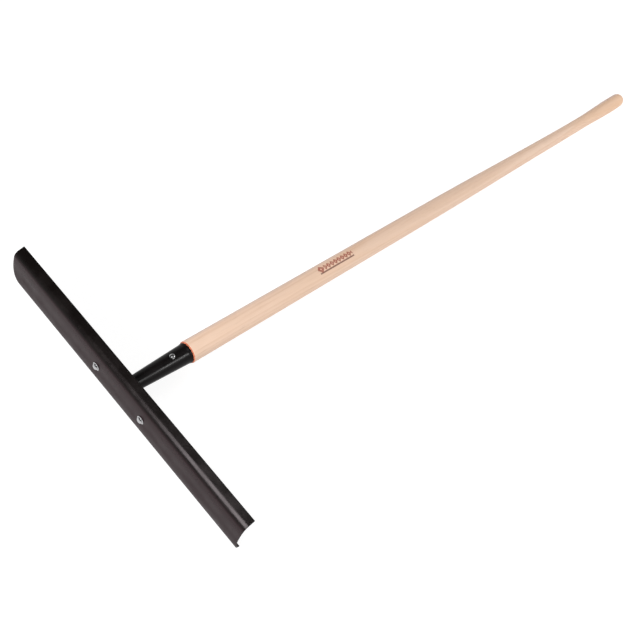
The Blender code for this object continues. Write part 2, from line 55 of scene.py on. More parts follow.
# Blade: the outline of its front surface, as a run and arcs from the top edge down.
BLADE_LENGTH = 508 * MM
BLADE_SHEET = 1.9 * MM
BLADE_TOP_Z = 32.3 * MM
FLANGE_RUN = 9.33 * MM
FLANGE_SLOPE = math.radians(23.5)
BEND_RADIUS = 13 * MM
BEND_ANGLE = math.radians(56.78)
FACE_RADIUS = 130 * MM
FACE_ANGLE = math.radians(30.72)
CURL_RADIUS = 21 * MM
CURL_ANGLE = math.radians(35)
BLADE_EDGE_ROUND = 0.65 * MM
BLADE_EDGE_MARGIN = 1.5  # in edge radii: how far from the sheet's edges its plain stations begin
BLADE_COLUMNS = 97
FLANGE_STEPS = 6
BEND_STEPS = 18
FACE_STEPS = 40
CURL_STEPS = 14
EDGE_STEPS = 4
EDGE_START = 8  # degrees: the first ring of a rounded end, which the end's cap closes

BRACKET_LENGTH = 150 * MM
BRACKET_HEIGHT = 36 * MM
BRACKET_THICKNESS = 4 * MM
BRACKET_CORNER = 8 * MM
BRACKET_EDGE_ROUND = 0.6 * MM
BRACKET_INSETS = (17.6 * MM, 13 * MM, 9 * MM, 5 * MM, 2.5 * MM, 1.2 * MM)
BRACKET_LEAST_CORNER = 0.1 * MM
BRACKET_CORNER_STEPS = 8
BRACKET_SIDE_STEPS = 12

BOLT_SPACING = 100 * MM
BOLT_RADIUS = 3.1 * MM
BOLT_HEAD_RADIUS = 6.4 * MM
BOLT_RIM_OUTER = 0.3 * MM
BOLT_RIM_INNER = 0.8 * MM
BOLT_CROWN_RADIUS = 4.9 * MM
BOLT_CROWN_HEIGHT = 3.15 * MM
BOLT_NECK = 6.2 * MM
BOLT_NECK_DEPTH = 2.0 * MM
BOLT_NECK_CORNER = 1.25  # the neck's rounded corners, in half widths from its middle
BOLT_NECK_BEVEL = 0.4 * MM
BOLT_HEAD_UNDERCUT = 0.1 * MM
BOLT_SHANK_UNDERCUT = 0.05 * MM
BOLT_SIDES = 48
BOLT_STICK_OUT = 2.6 * MM
CROWN_START = 84  # degrees
CROWN_ROWS = 12
RIM_ROWS = 6
THREAD_PITCH = 1.27 * MM
THREAD_DEPTH = 0.5 * MM
THREAD_LENGTH = 11.4 * MM
THREAD_RELIEF = 0.3 * MM
THREAD_ROWS_PER_TURN = 10
THREAD_ROOT_FLAT = 0.07  # half widths in pitches
THREAD_FLANK = 0.36
THREAD_END = 0.5 * MM
THREAD_POINT = 1.1 * MM
THREAD_POINT_SLOPE = 0.7
THREAD_POINT_INSET = 0.35 * MM
WASHER_RADIUS = 8 * MM
WASHER_THICKNESS = 1.4 * MM
WASHER_EDGE_ROUND = 0.3 * MM
WASHER_SIDES = 64
SPRING_RADIUS = 5.7 * MM
SPRING_THICKNESS = 1.6 * MM
SPRING_BEVEL = 0.15 * MM
SPRING_ROWS = 73
SPRING_START = 5  # degrees
SPRING_SWEEP = 350  # degrees
SPRING_RISE = 0.25 * MM
SPRING_SLANT = 0.10  # radians through the washer's thickness, at its slit
NUT_ACROSS_FLATS = 11.1 * MM
NUT_HEIGHT = 5.5 * MM
NUT_SIDES = 72
NUT_FACE_SHARE = 0.985  # the round face's radius, in half widths across flats
NUT_CHAMFER = math.radians(30)
NUT_BORE_CLEARANCE = 0.12 * MM
NUT_SINK_REACH = 0.5 * MM
NUT_SINK_DEPTH = 0.45 * MM

SOCKET_MOUTH_Y = 98.3 * MM
SOCKET_RADIUS_AT_BLADE = 11.15 * MM
SOCKET_TAPER = 0.045
SOCKET_WALL = 1.9 * MM
LIP_LENGTH = 5.5 * MM
LIP_RISE = 0.6 * MM
LIP_ROWS = 9
LIP_LEAST_STEP = 0.1 * MM
LIP_ROUND_START = 20  # degrees
LIP_ROUND_END = 150  # degrees
LIP_ROUND_STEPS = 10
SOCKET_ROOT_Y = -12 * MM
SOCKET_BODY_START_Y = -8 * MM
SOCKET_BODY_END_Y = 90 * MM
SOCKET_BODY_ROWS = 50
SOCKET_BORE_START = 2.5  # in walls, from the mouth
SOCKET_BORE_MIDDLE_Y = 50 * MM
SOCKET_SIDES = 112
WELD_LEG = 4.5 * MM
WELD_TRIM = 0.5 * MM
WELD_RIPPLES = 34
WELD_RIPPLE_ROWS = 8
WELD_RIPPLE_SWELL = 0.10
WELD_RIPPLE_CREST = 0.6
WELD_RIPPLE_LEAN = 0.35 * MM
WELD_WAVER = 0.05
WELD_WAVES = 3
WELD_WAVER_PHASE = 1.0
WELD_BULGE = 0.18
WELD_STEPS = 8

RIVET_Y = 70 * MM
RIVET_RADIUS = 2.5 * MM
RIVET_HEAD_RADIUS = 4.3 * MM
RIVET_HEAD_HEIGHT = 2.2 * MM
RIVET_TAIL_RADIUS = 3.5 * MM
RIVET_TAIL_HEIGHT = 1.5 * MM
BURR_RADIUS = 5.2 * MM
RIVET_SIDES = 48
RIVET_RIM = 0.35 * MM
RIVET_HEAD_START = 86  # degrees
RIVET_HEAD_ROWS = 14
RIVET_UNDERCUT = 0.12 * MM
RIVET_SEAT = 0.1 * MM
RIVET_TAIL_SINK = 0.05 * MM
RIVET_TAIL_UNDERCUT = 0.1 * MM
RIVET_TAIL_END = 84  # degrees
RIVET_TAIL_ROWS = 10
RIVET_TAIL_RIM = 0.2 * MM
RIVET_TAIL_FLAT = 0.25  # the flat's share of the tail's radius
BURR_THICKNESS = 1.2 * MM
BURR_BORE_CLEARANCE = 0.15 * MM
BURR_BEVEL = 0.25 * MM

HANDLE_START_Y = 3 * MM
HANDLE_END_Y = 1490.5 * MM
HANDLE_RADIUS = 17.35 * MM
SHOULDER_ROUND = 1.2 * MM
HANDLE_STATIONS = (
    (600 * MM, 17.35 * MM),
    (740 * MM, 17.1 * MM),
    (850 * MM, 16.4 * MM),
    (950 * MM, 15.4 * MM),
    (1050 * MM, 14.6 * MM),
    (1160 * MM, 14.1 * MM),
    (1250 * MM, 13.85 * MM),
    (1305 * MM, 14.0 * MM),
    (1360 * MM, 15.4 * MM),
    (1400 * MM, 16.3 * MM),
    (1436 * MM, 16.8 * MM),
    (1474 * MM, 16.4 * MM),
)
HANDLE_BOW = 4.6 * MM
BOW_START_Y = 1120 * MM
HANDLE_SIDES = 96
HANDLE_ROWS = 230
HANDLE_END_BEVEL = 1 * MM
HANDLE_TAPER_ROWS = 12
HANDLE_SHAFT_START = 3 * MM  # from the shoulder
SHOULDER_STEPS = 6
DOME_END = 86  # degrees
DOME_ROWS = 16

WEAR_REACH = 1.2 * MM
MERGE_DISTANCE = 1e-7

# The generic printed motif on the handle's upper side: a large lozenge, a row of small ones and an
# underline.
MARK_Y = 408.5 * MM
MARK_ANGLE = math.radians(-2)
MARK_HALF_LENGTH = 41 * MM
MARK_PITCH = 8.4 * MM
MARK_LOZENGE = 5.7 * MM
MARK_HEART = 0.24
MARK_LEAD = 7.4 * MM
MARK_LEAD_OFFSET = 35 * MM
MARK_ROW_START = 27 * MM
MARK_UNDERLINE = 7.0 * MM
MARK_UNDERLINE_HALF = 1.3 * MM
MARK_STEEPNESS = 1.25
MARK_EDGE = 0.15 * MM
MARK_STRENGTH = 0.85

WOOD_PALE = (0.81, 0.585, 0.445)
WOOD_RING = (0.70, 0.46, 0.31)
WOOD_WARM = (0.76, 0.50, 0.33)
WOOD_PORE = (0.52, 0.34, 0.23)
WOOD_TAN = (0.74, 0.47, 0.29)
# painted shade: a greyer, darker tint for the handle's -X flank, the side turned away from the lights
PAINTED_FLANK_SHADE = (0.60, 0.46, 0.45)
# painted shadow: an orange-red contact shadow line on the wood where it meets the socket's mouth
PAINTED_MOUTH_SHADOW = (0.55, 0.100, 0.030)
MARK_INK = (0.36, 0.080, 0.050)
UNDERLINE_INK = (0.130, 0.026, 0.015)
PITH_X = -21 * MM
PITH_Z = -58 * MM
RING_WIDTH = 3.4 * MM
RING_WANDER = 16 * MM
TAN_START_Y = 1100 * MM
TAN_END_Y = 1490 * MM
FLANK_SHADE_START = -7 * MM
FLANK_SHADE_FULL = -15 * MM
MOUTH_SHADOW_FULL = 1.0 * MM  # from the socket's mouth
MOUTH_SHADOW_END = 2.1 * MM
RING_SHARE = 0.38
WARM_SHARE = 0.55
STREAK_SHARE = 0.45
PORE_SHARE = 0.5
TAN_SHARE = 0.65
FLANK_SHADE_SHARE = 0.55
MOUTH_SHADOW_SHARE = 0.85
PORE_ROUGHNESS = 0.15
PORE_RELIEF = -0.7
STREAK_RELIEF = 0.5
MARK_RELIEF = -1.2
GRAIN_DEPTH = 0.07 * MM
GRAIN_STRENGTH = 0.6

COAT_SHINE = 0.09
BLADE_BLACK = (0.0036, 0.0026, 0.0023)
# a lighter, warmer base colour for the blade below the bend, towards its bottom
BLADE_LOWER_TONE = (0.015, 0.0070, 0.0082)
SOCKET_BLACK = (0.0055, 0.0045, 0.0045)
BRACKET_BLACK = (0.0070, 0.0060, 0.0060)
WELD_BLACK = (0.0065, 0.0057, 0.0057)
WORN_METAL = (0.22, 0.21, 0.20)
ZINC_GREY = (0.50, 0.50, 0.51)
RIVET_GREY = (0.42, 0.42, 0.42)
LOWER_TONE_TOP = 25 * MM
LOWER_TONE_FULL = 19 * MM
MATT_START = 12 * MM
MATT_FULL = -12 * MM
MATT_ROUGHNESS = 0.28
DUST_TINT = 1.9
DUST_SHARE = 0.4
SHEEN_BELOW = 0.05
SHEEN_ABOVE = 0.06
FINE_ROUGHNESS = 0.05
WORN_ROUGHNESS = 0.12
PEEL_DEPTH = 0.02 * MM
DENT_DEPTH = 0.12 * MM
DENT_STRENGTH = 0.06
STEEL_SHADE = 0.72
STEEL_BELOW = 0.05
STEEL_ABOVE = 0.10
SCRATCH_DEPTH = 0.02 * MM

WHITE = (1.0, 1.0, 1.0)
SHEEN_TINT = (1.0, 0.90, 0.93)
FLOOR_GREY = (0.22, 0.22, 0.22)
FLOOR_SHADE = (0.98, 0.98, 0.98)
FLOOR_GLOW = 0.90
FLOOR_REACH = 12.0
FLOOR_DROP = 0.2 * MM
HORIZON = 0.80
ZENITH = 0.07
SKY_FADE_START = 0.18
SKY_FADE_END = 0.42

# What the lights are aimed at, in the row's frame.
BLADE_TARGET = (0.0, -0.74, 0.06)
SOCKET_TARGET = (0.0, -0.68, 0.06)
MIDDLE_TARGET = (0.0, 0.0, 0.05)

CAMERA_SENSOR = 36
CAMERA_LENS = 41.42
CAMERA_PLACE = (0.37863, -0.36721, 0.89354)
CAMERA_RIGHT = (0.668238, 0.685693, 0.288588)
CAMERA_UP = (-0.694106, 0.435051, 0.573539)


def tool_frame():
    """The tool's frame in the row's frame, from the flange's centre and normal in the record."""
    flange = next(m for m in frame["record"]["mounts"] if m["name"] == "blade_flange")
    normal = Vector(flange["axis"])
    tilt = FLANGE_SLOPE - math.atan2(-normal.y, normal.z)
    turn = Matrix.Rotation(-tilt, 4, "X")
    run = FLANGE_RUN / 2
    centre = Vector((0, -run * math.cos(FLANGE_SLOPE), BLADE_TOP_Z - run * math.sin(FLANGE_SLOPE)))
    return Matrix.Translation(Vector(flange["pos_m"]) - turn @ centre) @ turn


TOOL = tool_frame()


# Mesh building


def add_piece(name, verts, faces, material, nodes, wear=None, sharp=35):
    """A closed mesh in the tool's frame that stands for CAD nodes."""
    mesh = bpy.data.meshes.new(name)
    mesh.from_pydata([TOOL @ Vector(v) for v in verts], [], faces)
    if wear is not None:
        layer = mesh.attributes.new("wear", "FLOAT", "POINT")
        layer.data.foreach_set("value", np.asarray(wear, np.float32))
    bm = bmesh.new()
    bm.from_mesh(mesh)
    bmesh.ops.remove_doubles(bm, verts=bm.verts, dist=MERGE_DISTANCE)
    bmesh.ops.recalc_face_normals(bm, faces=bm.faces)
    bm.to_mesh(mesh)
    bm.free()
    mesh.shade_smooth()
    mesh.set_sharp_from_angle(angle=math.radians(sharp))
    mesh.materials.append(material)
    obj = bpy.data.objects.new(name, mesh)
    bpy.context.scene.collection.objects.link(obj)
    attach(obj, "root")
    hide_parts(*nodes)
    return obj


def grid_faces(rows, columns, wrap_rows=False):
    """Quads over rows of vertices, each row a closed ring; the rows may close too."""
    faces = []
    for i in range(rows if wrap_rows else rows - 1):
        for j in range(columns):
            a, b = i * columns, (i + 1) % rows * columns
            k = (j + 1) % columns
            faces.append((a + j, a + k, b + k, b + j))
    return faces


def loft(rings, closed=False):
    """(verts, faces) through rings of equal length, capped at both ends unless the path is closed."""
    rings = np.asarray(rings, float)
    rows, columns = rings.shape[:2]
    faces = grid_faces(rows, columns, wrap_rows=closed)
    if not closed:
        faces.append(tuple(range(columns)))
        faces.append(tuple(range((rows - 1) * columns, rows * columns)))
    return rings.reshape(-1, 3), faces


def revolve(profile, sides, place):
    """(verts, faces) of (radius, height) points turned about an axis.

    place maps a radius, an angle and a height to a point.
    A profile that starts or ends on the axis closes there; any other profile is a closed loop.
    """
    poles = profile[0][0] == 0.0
    angles = [2 * math.pi * j / sides for j in range(sides)]
    rings = [[place(r, a, h) for a in angles] for r, h in (profile[1:-1] if poles else profile)]
    verts = [v for ring in rings for v in ring]
    faces = grid_faces(len(rings), sides, wrap_rows=not poles)
    if poles:
        first, last = len(verts), len(verts) + 1
        verts += [place(0.0, 0.0, profile[0][1]), place(0.0, 0.0, profile[-1][1])]
        base = (len(rings) - 1) * sides
        for j in range(sides):
            k = (j + 1) % sides
            faces.append((first, j, k))
            faces.append((last, base + k, base + j))
    return verts, faces


def along_y(x=0.0, z=0.0):
    """Places a turned point on an axis parallel to the handle's."""
    return lambda r, a, h: (x + r * math.sin(a), h, z + r * math.cos(a))


def arc(centre, radius, start, end, steps):
    """Points on an arc, angles in degrees from the first coordinate's direction towards the second's."""
    turned = np.radians(np.linspace(start, end, steps + 1))
    return [(centre[0] + radius * math.cos(a), centre[1] + radius * math.sin(a)) for a in turned]


# Blade surface


def blade_guide():
    """The front surface as (arc length, y, z, heading) rows; the heading turns from -Y towards -Z."""
    heading = FLANGE_SLOPE
    y, z = 0.0, BLADE_TOP_Z
    rows = []
    for i in range(FLANGE_STEPS):
        run = FLANGE_RUN * i / FLANGE_STEPS
        rows.append((run, y - run * math.cos(heading), z - run * math.sin(heading), heading))
    s = FLANGE_RUN
    y -= FLANGE_RUN * math.cos(heading)
    z -= FLANGE_RUN * math.sin(heading)
    rows.append((s, y, z, heading))
    arcs = (
        (BEND_RADIUS, BEND_ANGLE, BEND_STEPS),
        (FACE_RADIUS, FACE_ANGLE, FACE_STEPS),
        (CURL_RADIUS, CURL_ANGLE, CURL_STEPS),
    )
    for radius, angle, steps in arcs:
        for i in range(1, steps + 1):
            turned = heading + angle * i / steps
            rows.append(
                (
                    s + radius * angle * i / steps,
                    y - radius * (math.sin(turned) - math.sin(heading)),
                    z - radius * (math.cos(heading) - math.cos(turned)),
                    turned,
                )
            )
        s, y, z, heading = rows[-1]
    return np.array(rows)


GUIDE = blade_guide()
SECTION_LENGTH = GUIDE[-1, 0]
FACE_START = GUIDE[FLANGE_STEPS + BEND_STEPS]
FACE_CENTRE_Y = FACE_START[1] + FACE_RADIUS * math.sin(FACE_START[3])
FACE_CENTRE_Z = FACE_START[2] - FACE_RADIUS * math.cos(FACE_START[3])
FACE_FRONT_Y = FACE_CENTRE_Y - FACE_RADIUS
BRACKET_FRONT_RADIUS = FACE_RADIUS - BLADE_SHEET - GAP
BRACKET_REAR_RADIUS = BRACKET_FRONT_RADIUS - BRACKET_THICKNESS
BOLT_PLACES = (("left", -BOLT_SPACING / 2), ("right", BOLT_SPACING / 2))


def on_blade(x, s, depth):
    """The point at arc length s down the blade's front, and a depth behind it."""
    y, z, heading = (np.interp(s, GUIDE[:, 0], GUIDE[:, i]) for i in (1, 2, 3))
    return (x, y + depth * math.sin(heading), z - depth * math.cos(heading))


def make_blade():
    """The sheet is a slab in (x, arc length, depth), with rounded edges, laid on the guide."""
    half = BLADE_LENGTH / 2
    r = BLADE_EDGE_ROUND
    margin = BLADE_EDGE_MARGIN * r
    inner = [s for s in GUIDE[:, 0] if margin < s < SECTION_LENGTH - margin]
    turns = np.radians(np.linspace(EDGE_START, 90, EDGE_STEPS + 1))
    ends = [(-half + r - r * math.cos(t), r * math.sin(t)) for t in turns]
    middle = [(x, r) for x in np.linspace(-half + r, half - r, BLADE_COLUMNS)[1:-1]]
    rings, wear = [], []
    for x, q in ends + middle + [(-x, q) for x, q in reversed(ends)]:
        outline = arc((r, r), q, 180, 270, EDGE_STEPS)
        outline += [(s, r - q) for s in inner]
        outline += arc((SECTION_LENGTH - r, r), q, -90, 0, EDGE_STEPS)
        outline += arc((SECTION_LENGTH - r, BLADE_SHEET - r), q, 0, 90, EDGE_STEPS)
        outline += [(s, BLADE_SHEET - r + q) for s in reversed(inner)]
        outline += arc((r, BLADE_SHEET - r), q, 90, 180, EDGE_STEPS)
        rings.append([on_blade(x, s, depth) for s, depth in outline])
        for s, _ in outline:
            edge = max(min(s, SECTION_LENGTH - s, half - abs(x)), 0.0)
            wear.append(math.exp(-edge / WEAR_REACH))
    rows, count = len(rings), len(rings[0])
    verts = [v for ring in rings for v in ring]
    faces = grid_faces(rows, count)
    for base in (0, (rows - 1) * count):
        for j in range(count // 2 - 1):
            far = base + count - 1 - j
            faces.append((base + j, base + j + 1, far - 1, far))
    return add_piece("blade_sheet", verts, faces, BLADE_COAT, ["blade"], wear)


def rounded_rectangle(half_x, half_z, corner, corner_steps, side_steps):
    """A closed (x, z) loop, counted from the upper right corner, with stations along its sides."""
    loop = []
    turns = ((1, 1, 0), (-1, 1, 90), (-1, -1, 180), (1, -1, 270))
    for sign_x, sign_z, start in turns:
        centre = (sign_x * (half_x - corner), sign_z * (half_z - corner))
        loop += arc(centre, corner, start, start + 90, corner_steps)
        last = np.array(loop[-1])
        if start in (0, 180):
            following = last + (-sign_x * 2 * (half_x - corner), 0)
        else:
            following = last + (0, -sign_z * 2 * (half_z - corner))
        for t in np.linspace(0, 1, side_steps + 1)[1:-1]:
            loop.append(tuple(last + (following - last) * t))
    return loop


def on_bracket(x, z, depth):
    """The point at (x, z), a depth behind the bracket's curved front."""
    radius = BRACKET_FRONT_RADIUS - depth
    return (x, FACE_CENTRE_Y - math.sqrt(radius**2 - (z - FACE_CENTRE_Z) ** 2), z)


def make_bracket():
    """Nested loops run out over the front, round the edge, and in again over the rear."""
    r = BRACKET_EDGE_ROUND
    half_length, half_height = BRACKET_LENGTH / 2, BRACKET_HEIGHT / 2
    turns = np.radians(np.linspace(0, 90, EDGE_STEPS + 1))
    layers = [(inset, 0.0) for inset in BRACKET_INSETS]
    layers += [(r - r * math.sin(t), r - r * math.cos(t)) for t in turns]
    layers += [(inset, BRACKET_THICKNESS - depth) for inset, depth in reversed(layers)]
    rings, wear = [], []
    for inset, depth in layers:
        corner = max(BRACKET_CORNER - inset, BRACKET_LEAST_CORNER)
        steps = (BRACKET_CORNER_STEPS, BRACKET_SIDE_STEPS)
        loop = rounded_rectangle(half_length - inset, half_height - inset, corner, *steps)
        rings.append([on_bracket(x, z, depth) for x, z in loop])
        wear += [math.exp(-inset / WEAR_REACH)] * len(loop)
    verts, faces = loft(rings)
    add_piece("bracket_plate", verts, faces, FRAME_COAT, ["bracket"], wear)


def socket_radius(y):
    return SOCKET_RADIUS_AT_BLADE + SOCKET_TAPER * y


def bracket_rear(z):
    return FACE_CENTRE_Y - math.sqrt(BRACKET_REAR_RADIUS**2 - (z - FACE_CENTRE_Z) ** 2)


def make_socket():
    """A tapered tube whose root follows the bracket's curve and whose mouth is rolled out."""
    half_wall = SOCKET_WALL / 2
    mouth = socket_radius(SOCKET_MOUTH_Y) + LIP_RISE - half_wall
    profile = []  # (radius, y) from the outer root round the mouth to the inner root
    for y in np.linspace(SOCKET_BODY_START_Y, SOCKET_BODY_END_Y, SOCKET_BODY_ROWS):
        profile.append((socket_radius(y), y))
    lip_start = SOCKET_MOUTH_Y - LIP_LENGTH
    for t in np.linspace(0, 1, LIP_ROWS):
        y = lip_start + (LIP_LENGTH - half_wall) * t
        if y > profile[-1][1] + LIP_LEAST_STEP:
            profile.append((socket_radius(y) + LIP_RISE * 0.5 * (1 - math.cos(math.pi * t)), y))
    centre = (mouth, SOCKET_MOUTH_Y - half_wall)
    profile += arc(centre, half_wall, LIP_ROUND_START, LIP_ROUND_END, LIP_ROUND_STEPS)
    bore_start = SOCKET_MOUTH_Y - SOCKET_BORE_START * SOCKET_WALL
    for y in (bore_start, SOCKET_BORE_MIDDLE_Y, 0.0, SOCKET_BODY_START_Y):
        profile.append((socket_radius(y) - SOCKET_WALL, y))
    angles = [2 * math.pi * j / SOCKET_SIDES for j in range(SOCKET_SIDES)]
    rings = []
    for r, y in profile:
        rings.append([along_y()(r, angle, y) for angle in angles])
    root = socket_radius(SOCKET_ROOT_Y)
    for radius in (root - SOCKET_WALL, root):
        ring = []
        for angle in angles:
            x, _, z = along_y()(radius, angle, 0.0)
            ring.append((x, bracket_rear(z) + GAP, z))
        rings.append(ring)
    wear = []
    for ring in rings:
        for point in ring:
            wear.append(math.exp(-abs(SOCKET_MOUTH_Y - point[1]) / WEAR_REACH))
    verts, faces = loft(rings, closed=True)
    return add_piece("socket_tube", verts, faces, SOCKET_COAT, ["socket"], wear)


def make_weld():
    """A fillet bead round the socket's root, laid down in overlapping ripples."""
    turns = WELD_RIPPLE_ROWS * WELD_RIPPLES
    rings = []
    for i in range(turns):
        angle = 2 * math.pi * i / turns
        ripple = (i % WELD_RIPPLE_ROWS) / WELD_RIPPLE_ROWS
        swell = 1 + WELD_RIPPLE_SWELL * math.sin(math.pi * ripple) ** WELD_RIPPLE_CREST
        swell += WELD_WAVER * math.sin(WELD_WAVES * angle + WELD_WAVER_PHASE)
        leg = (WELD_LEG - WELD_TRIM) * swell
        root_z = socket_radius(SOCKET_ROOT_Y) * math.cos(angle)
        ring = []
        # A bulged line from the socket's side down to the bracket's face.
        for k in range(WELD_STEPS + 1):
            t = k / WELD_STEPS
            bulge = WELD_BULGE * leg * math.sin(math.pi * t)
            ring.append((t * leg + bulge, (1 - t) * leg + bulge))
        ring.append((leg * 0.5, 0.0))
        ring.append((0.0, 0.0))
        ring.append((0.0, leg * 0.5))
        lean = WELD_RIPPLE_LEAN * ripple
        points = []
        for out, up in ring:
            y = bracket_rear(root_z) + up
            radius = socket_radius(y) + GAP + out
            place = along_y()(radius, angle + lean / radius * (up > 0), 0.0)
            points.append((place[0], bracket_rear(place[2]) + GAP + up, place[2]))
        rings.append(points)
    verts, faces = loft(rings, closed=True)
    add_piece("weld_bead", verts, faces, WELD_COAT, ["socket_weld"], sharp=50)


def handle_radius(y):
    """The handle's radius at y, by cubic Hermite spans through its stations."""
    stations = HANDLE_STATIONS
    if y <= stations[0][0]:
        return stations[0][1]
    i = max(k for k in range(len(stations) - 1) if stations[k][0] <= y)

    def slope(k):
        low, high = max(k - 1, 0), min(k + 1, len(stations) - 1)
        return (stations[high][1] - stations[low][1]) / (stations[high][0] - stations[low][0])

    (y0, r0), (y1, r1) = stations[i], stations[i + 1]
    span = y1 - y0
    t = (y - y0) / span
    ends = (1 + 2 * t) * (1 - t) ** 2 * r0 + t * t * (3 - 2 * t) * r1
    return ends + span * (t * (1 - t) ** 2 * slope(i) + t * t * (t - 1) * slope(i + 1))


def make_handle():
    """A turned shaft: a hidden taper in the socket, a shoulder, a waist, a bulb and a domed end."""
    shoulder = SOCKET_MOUTH_Y + GAP
    bore = SOCKET_WALL + GAP
    bevel = HANDLE_END_BEVEL
    start_radius = socket_radius(HANDLE_START_Y) - bore - bevel
    profile = [(0.0, HANDLE_START_Y), (start_radius, HANDLE_START_Y)]
    for y in np.linspace(HANDLE_START_Y + bevel, shoulder - bevel, HANDLE_TAPER_ROWS):
        profile.append((socket_radius(y) - bore, y))
    profile.append((socket_radius(shoulder) - bore, shoulder))
    centre = (HANDLE_RADIUS - SHOULDER_ROUND, shoulder + SHOULDER_ROUND)
    profile += arc(centre, SHOULDER_ROUND, -90, 0, SHOULDER_STEPS)
    last_y, last_radius = HANDLE_STATIONS[-1]
    for y in np.linspace(shoulder + HANDLE_SHAFT_START, last_y, HANDLE_ROWS)[:-1]:
        profile.append((handle_radius(y), y))
    dome = HANDLE_END_Y - last_y
    for t in np.radians(np.linspace(0, DOME_END, DOME_ROWS)):
        profile.append((last_radius * math.cos(t), last_y + dome * math.sin(t)))
    profile.append((0.0, HANDLE_END_Y))
    verts, faces = revolve(profile, HANDLE_SIDES, along_y())
    bowed = []
    for x, y, z in verts:
        share = max(0.0, (y - BOW_START_Y) / (HANDLE_END_Y - BOW_START_Y))
        bowed.append((x - HANDLE_BOW * share * share, y, z))
    add_piece("handle_shaft", bowed, faces, HANDLE_WOOD, ["handle"], sharp=60)


def head_seat_y():
    return FACE_FRONT_Y - GAP


def washer_seat_y():
    edge = abs(FACE_CENTRE_Z) + WASHER_RADIUS
    return FACE_CENTRE_Y - math.sqrt(BRACKET_REAR_RADIUS**2 - edge**2) + GAP


def nut_seat_y():
    return washer_seat_y() + WASHER_THICKNESS + GAP + SPRING_THICKNESS + GAP


def thread_radius(angle, y, outer, depth):
    """The radius of a helical V thread with a flat crest and root."""
    phase = (y / THREAD_PITCH - angle / (2 * math.pi)) % 1
    groove = min(max((abs(phase - 0.5) - THREAD_ROOT_FLAT) / THREAD_FLANK, 0.0), 1.0)
    return outer - depth * groove


def make_bolt(side, x):
    """A round-head bolt: crown, thin rim, square neck, shank and a real helical thread."""
    sides = BOLT_SIDES
    angles = [2 * math.pi * j / sides for j in range(sides)]
    seat = head_seat_y()
    end = nut_seat_y() + NUT_HEIGHT + BOLT_STICK_OUT
    rings = []

    def ring(radius_of, y):
        rings.append([along_y(x)(radius_of(a), a, y) for a in angles])

    crown = seat - BOLT_RIM_INNER
    for t in np.radians(np.linspace(CROWN_START, 0, CROWN_ROWS)):
        ring(lambda a: BOLT_CROWN_RADIUS * math.cos(t), crown - BOLT_CROWN_HEIGHT * math.sin(t))
    for radius in np.linspace(BOLT_CROWN_RADIUS, BOLT_HEAD_RADIUS, RIM_ROWS)[1:]:
        share = (radius - BOLT_CROWN_RADIUS) / (BOLT_HEAD_RADIUS - BOLT_CROWN_RADIUS)
        ring(lambda a: radius, seat - BOLT_RIM_INNER * (1 - share) - BOLT_RIM_OUTER * share)
    ring(lambda a: BOLT_HEAD_RADIUS - BOLT_HEAD_UNDERCUT, seat)
    half = BOLT_NECK / 2

    def square(a):
        return min(half / max(abs(math.cos(a)), abs(math.sin(a))), BOLT_NECK_CORNER * half)

    ring(square, seat)
    ring(square, seat + BOLT_NECK_DEPTH - BOLT_NECK_BEVEL)
    ring(lambda a: BOLT_RADIUS - BOLT_SHANK_UNDERCUT, seat + BOLT_NECK_DEPTH)
    start = end - THREAD_LENGTH
    ring(lambda a: BOLT_RADIUS - BOLT_SHANK_UNDERCUT, start - THREAD_RELIEF)
    steps = int(THREAD_LENGTH / THREAD_PITCH * THREAD_ROWS_PER_TURN)
    for i in range(steps + 1):
        y = start + (THREAD_LENGTH - THREAD_END) * i / steps
        fade = min(i / THREAD_ROWS_PER_TURN, 1.0)
        taper = max(0.0, y - (end - THREAD_POINT)) * THREAD_POINT_SLOPE
        ring(lambda a: thread_radius(a, y, BOLT_RADIUS - taper, THREAD_DEPTH * fade), y)
    ring(lambda a: BOLT_RADIUS - THREAD_DEPTH - THREAD_POINT_INSET, end)
    verts = [v for r in rings for v in r]
    faces = grid_faces(len(rings), sides)
    for base, y in ((0, crown - BOLT_CROWN_HEIGHT), ((len(rings) - 1) * sides, end)):
        pole = len(verts)
        verts.append((x, y, 0.0))
        faces += [(pole, base + j, base + (j + 1) % sides) for j in range(sides)]
    add_piece(f"bolt_{side}_threaded", verts, faces, ZINC, [f"bolt_{side}"], sharp=40)


def make_washers(side, x):
    """A flat washer with rounded edges, and a split spring washer behind it."""
    bore = BOLT_RADIUS + GAP
    y = washer_seat_y()
    round_edge = WASHER_EDGE_ROUND
    outer = WASHER_RADIUS - round_edge
    top = WASHER_THICKNESS - round_edge
    profile = [(bore, y)]
    profile += [(r, y + h) for r, h in arc((outer, round_edge), round_edge, -90, 0, EDGE_STEPS)]
    profile += [(r, y + h) for r, h in arc((outer, top), round_edge, 0, 90, EDGE_STEPS)]
    profile += [(bore, y + WASHER_THICKNESS)]
    verts, faces = revolve(profile, WASHER_SIDES, along_y(x))
    add_piece(f"washer_{side}_flat", verts, faces, ZINC, [f"washer_{side}"])

    y += WASHER_THICKNESS + GAP
    trim = SPRING_BEVEL
    section = [
        (bore, trim),
        (bore + trim, 0.0),
        (SPRING_RADIUS - trim, 0.0),
        (SPRING_RADIUS, trim),
        (SPRING_RADIUS, SPRING_THICKNESS - trim),
        (SPRING_RADIUS - trim, SPRING_THICKNESS),
        (bore + trim, SPRING_THICKNESS),
        (bore, SPRING_THICKNESS - trim),
    ]
    rings = []
    for t in np.linspace(0, 1, SPRING_ROWS):
        angle = math.radians(SPRING_START + SPRING_SWEEP * t)
        rise = (t - 0.5) * SPRING_RISE
        ring = []
        for r, h in section:
            slanted = angle + SPRING_SLANT * h / SPRING_THICKNESS
            ring.append(along_y(x)(r, slanted, y + h + rise))
        rings.append(ring)
    verts, faces = loft(rings)
    name = f"spring_washer_{side}"
    add_piece(f"{name}_split", verts, faces, ZINC, [name])


